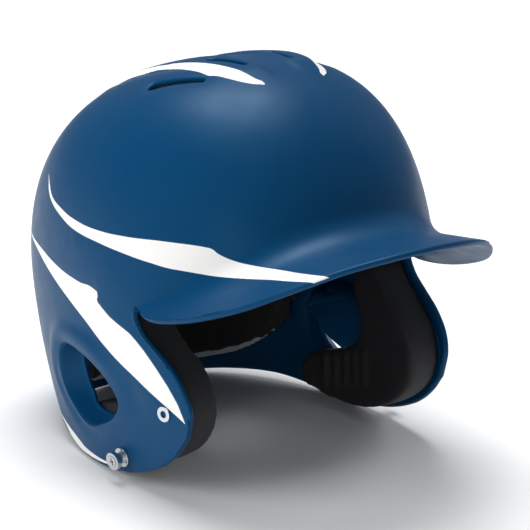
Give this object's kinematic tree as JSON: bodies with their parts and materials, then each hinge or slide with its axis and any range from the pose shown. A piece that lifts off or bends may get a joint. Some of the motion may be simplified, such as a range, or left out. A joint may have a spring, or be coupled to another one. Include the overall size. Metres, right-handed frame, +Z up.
{
  "type": "batting helmet",
  "caption": "Batting helmet with a brimmed shell, two ear flaps with scooped ear holes, foam liner, ear pads, strap snaps and guard inserts.",
  "frame": {"origin": "on the ground under the middle of the bounding box, with the helmet standing on its ear flaps", "axes": "+Z up, -Y forward past the brim, +X to the wearer's left"},
  "size_m": [0.2212, 0.2938, 0.2294],
  "materials": {
    "shell_plastic": "satin painted moulding",
    "impact_foam": "closed-cell foam",
    "comfort_fabric": "knitted fabric over foam",
    "ear_foam": "moulded closed-cell foam with a smooth skin",
    "chrome": "bright plating",
    "zinc_steel": "zinc plated"
  },
  "bodies": {
    "root": {"shell": "shell_plastic", "impact_foam_front": "impact_foam", "comfort_pad_front": "comfort_fabric", "impact_foam_rear": "impact_foam", "comfort_pad_rear": "comfort_fabric", "impact_foam_crown": "impact_foam", "comfort_pad_crown": "comfort_fabric", "impact_foam_side_right": "impact_foam", "comfort_pad_side_right": "comfort_fabric", "impact_foam_side_left": "impact_foam", "comfort_pad_side_left": "comfort_fabric", "ear_pad_right": "ear_foam", "snap_stud_right": "chrome", "snap_screw_right": "chrome", "snap_washer_right": "zinc_steel", "snap_nut_right": "zinc_steel", "guard_insert_right": "chrome", "guard_ring_right": "zinc_steel", "ear_pad_left": "ear_foam", "snap_stud_left": "chrome", "snap_screw_left": "chrome", "snap_washer_left": "zinc_steel", "snap_nut_left": "zinc_steel", "guard_insert_left": "chrome", "guard_ring_left": "zinc_steel"}
  },
  "joints": []
}
